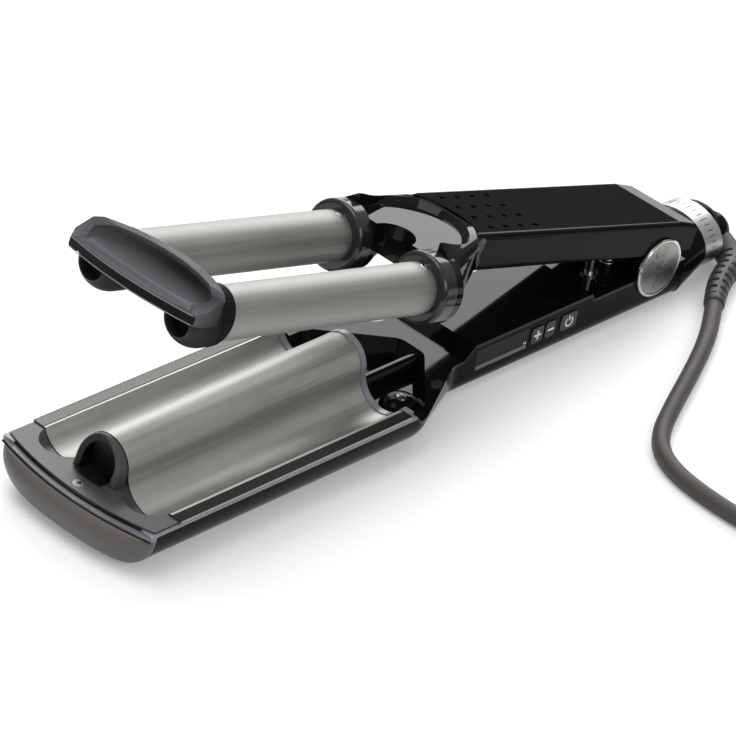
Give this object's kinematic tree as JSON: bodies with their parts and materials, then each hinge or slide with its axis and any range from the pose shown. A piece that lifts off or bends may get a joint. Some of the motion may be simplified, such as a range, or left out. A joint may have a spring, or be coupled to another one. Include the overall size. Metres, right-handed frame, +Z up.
{
  "type": "hair waver",
  "caption": "Sprung two-jaw hair waver: two heated barrels on the upper arm close into a W-shaped plate, with buttons and a display on the handle and a swivel mains cord.",
  "frame": {"origin": "on the resting surface, straight below the middle of the hinge pin, on the tool's centre plane", "axes": "+X from the jaws towards the cord end, +Z up from the resting surface, +Y away from the side that has the buttons"},
  "size_m": [0.407, 0.3078, 0.1168],
  "materials": {
    "gloss_black": "high gloss moulded",
    "satin_black": "fine satin moulded",
    "graphite": "satin graphite, heat resistant",
    "champagne_plate": "ceramic coated, finely brushed",
    "silver_trim": "satin silver plating",
    "steel": "zinc plated",
    "spreader_aluminium": "as cast",
    "heater_ceramic": "ceramic heater",
    "heat_plug": "heat resistant moulding",
    "bush_nylon": "nylon",
    "board_green": "solder resist",
    "switch_black": "moulded",
    "fuse_white": "ceramic body",
    "display_glass": "dark tinted window",
    "cord_black": "matt cord sheath"
  },
  "bodies": {
    "lower_arm": {"button_switches": "switch_black", "clamp_screws": "steel", "control_board": "board_green", "cord": "cord_black", "cord_coil": "cord_black", "cord_end": "cord_black", "display_module": "switch_black", "display_window": "display_glass", "heat_spreader_far": "spreader_aluminium", "heat_spreader_near": "spreader_aluminium", "heater_clamp": "steel", "hinge_pin": "steel", "housing_screws": "steel", "lower_deck": "gloss_black", "lower_housing": "gloss_black", "mains_plug": "cord_black", "medallion_far": "silver_trim", "medallion_near": "silver_trim", "opening_spring": "steel", "plate_frame": "graphite", "plate_heater_far": "heater_ceramic", "plate_heater_near": "heater_ceramic", "plug_pins": "steel", "stop_post": "steel", "strain_relief": "cord_black", "swivel_knuckle": "gloss_black", "swivel_spindle": "steel", "tail_cap": "gloss_black", "tail_ring": "silver_trim", "thermal_fuse": "fuse_white", "tip_bumper": "graphite", "tip_cap": "graphite", "tip_cap_screw": "steel", "wave_plate": "champagne_plate"},
    "upper_arm": {"barrel_block": "gloss_black", "barrel_collar_far": "graphite", "barrel_collar_near": "graphite", "barrel_far": "champagne_plate", "barrel_heater_far": "spreader_aluminium", "barrel_heater_near": "spreader_aluminium", "barrel_near": "champagne_plate", "barrel_plug_far": "heat_plug", "barrel_plug_near": "heat_plug", "bridge_screws": "steel", "hinge_bush_far": "bush_nylon", "hinge_bush_near": "bush_nylon", "tip_bridge": "graphite", "upper_cover": "gloss_black", "upper_liner": "satin_black", "upper_screws": "steel"},
    "plus_key": {"button_plus": "silver_trim"},
    "minus_key": {"button_minus": "silver_trim"},
    "power_key": {"button_power": "silver_trim"},
    "swivel": {"swivel_collar": "gloss_black"}
  },
  "joints": [
    {"name": "jaw_hinge", "type": "hinge", "parent": "lower_arm", "child": "upper_arm", "pos_m": [0, 0, 0.0225], "axis": [0, -1, 0], "range_deg": [0, 13.4], "stiffness_Nm_per_rad": 2, "springref_deg": -20.05, "deforming": ["opening_spring"]},
    {"name": "plus_press", "type": "slide", "parent": "lower_arm", "child": "plus_key", "axis": [0, 1, 0], "range_m": [0, 0.0004], "stiffness_N_per_m": 1500, "springref_m": -0.0006},
    {"name": "minus_press", "type": "slide", "parent": "lower_arm", "child": "minus_key", "axis": [0, 1, 0], "range_m": [0, 0.0004], "stiffness_N_per_m": 1500, "springref_m": -0.0006},
    {"name": "power_press", "type": "slide", "parent": "lower_arm", "child": "power_key", "axis": [0, 1, 0], "range_m": [0, 0.0004], "stiffness_N_per_m": 1500, "springref_m": -0.0006},
    {"name": "cord_swivel", "type": "hinge", "parent": "lower_arm", "child": "swivel", "pos_m": [0.052, 0, 0.014], "axis": [1, 0, 0], "continuous": true}
  ]
}
